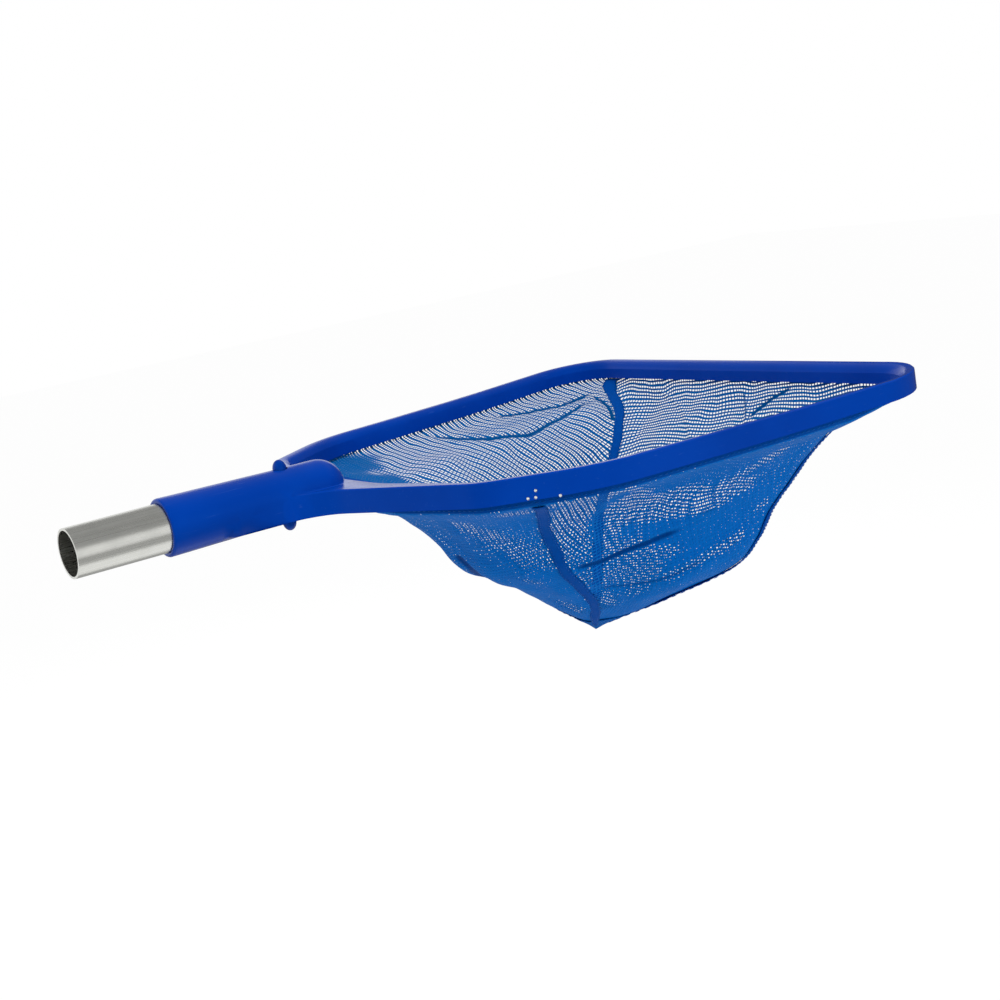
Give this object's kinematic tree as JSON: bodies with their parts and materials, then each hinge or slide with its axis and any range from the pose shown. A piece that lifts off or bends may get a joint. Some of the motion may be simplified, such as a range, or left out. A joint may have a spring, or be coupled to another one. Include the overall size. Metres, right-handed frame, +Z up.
{
  "type": "leaf skimmer net",
  "caption": "Deep-bag leaf skimmer net: blue moulded hoop and socket, sewn mesh bag, and a sprung push-button clip on an aluminium pole.",
  "frame": {"origin": "centre of the pole's free end", "axes": "+X along the pole towards the hoop's front edge, +Z up, +Y to the far side"},
  "size_m": [0.515, 0.3838, 0.1694],
  "materials": {
    "blue_plastic": "semi-gloss moulded",
    "clip_plastic": "semi-gloss moulded",
    "strip_plastic": "matte",
    "pole_metal": "satin anodised",
    "mesh": "open woven mesh",
    "tape": "woven tape",
    "cord": "braided"
  },
  "bodies": {
    "net": {"frame_moulding": "blue_plastic", "pole": "pole_metal", "clip_bow": "clip_plastic", "strip_far": "strip_plastic", "strip_near": "strip_plastic", "hem_cord": "cord", "hem_band": "tape", "bag_rear": "mesh", "bag_front": "mesh", "bag_far": "mesh", "bag_near": "mesh", "seam_rear_far": "tape", "seam_rear_near": "tape", "seam_front_far": "tape", "seam_front_near": "tape", "bag_tip": "mesh"},
    "upper_arm": {"clip_arm_upper": "clip_plastic"},
    "lower_arm": {"clip_arm_lower": "clip_plastic"}
  },
  "joints": [
    {"name": "upper_button", "type": "hinge", "parent": "net", "child": "upper_arm", "pos_m": [0.096, 0, 0.01143], "axis": [0, 1, 0], "range_deg": [0, 10], "stiffness_Nm_per_rad": 4},
    {"name": "lower_button", "type": "hinge", "parent": "net", "child": "lower_arm", "pos_m": [0.096, 0, -0.01143], "axis": [0, -1, 0], "range_deg": [0, 10], "stiffness_Nm_per_rad": 4}
  ]
}
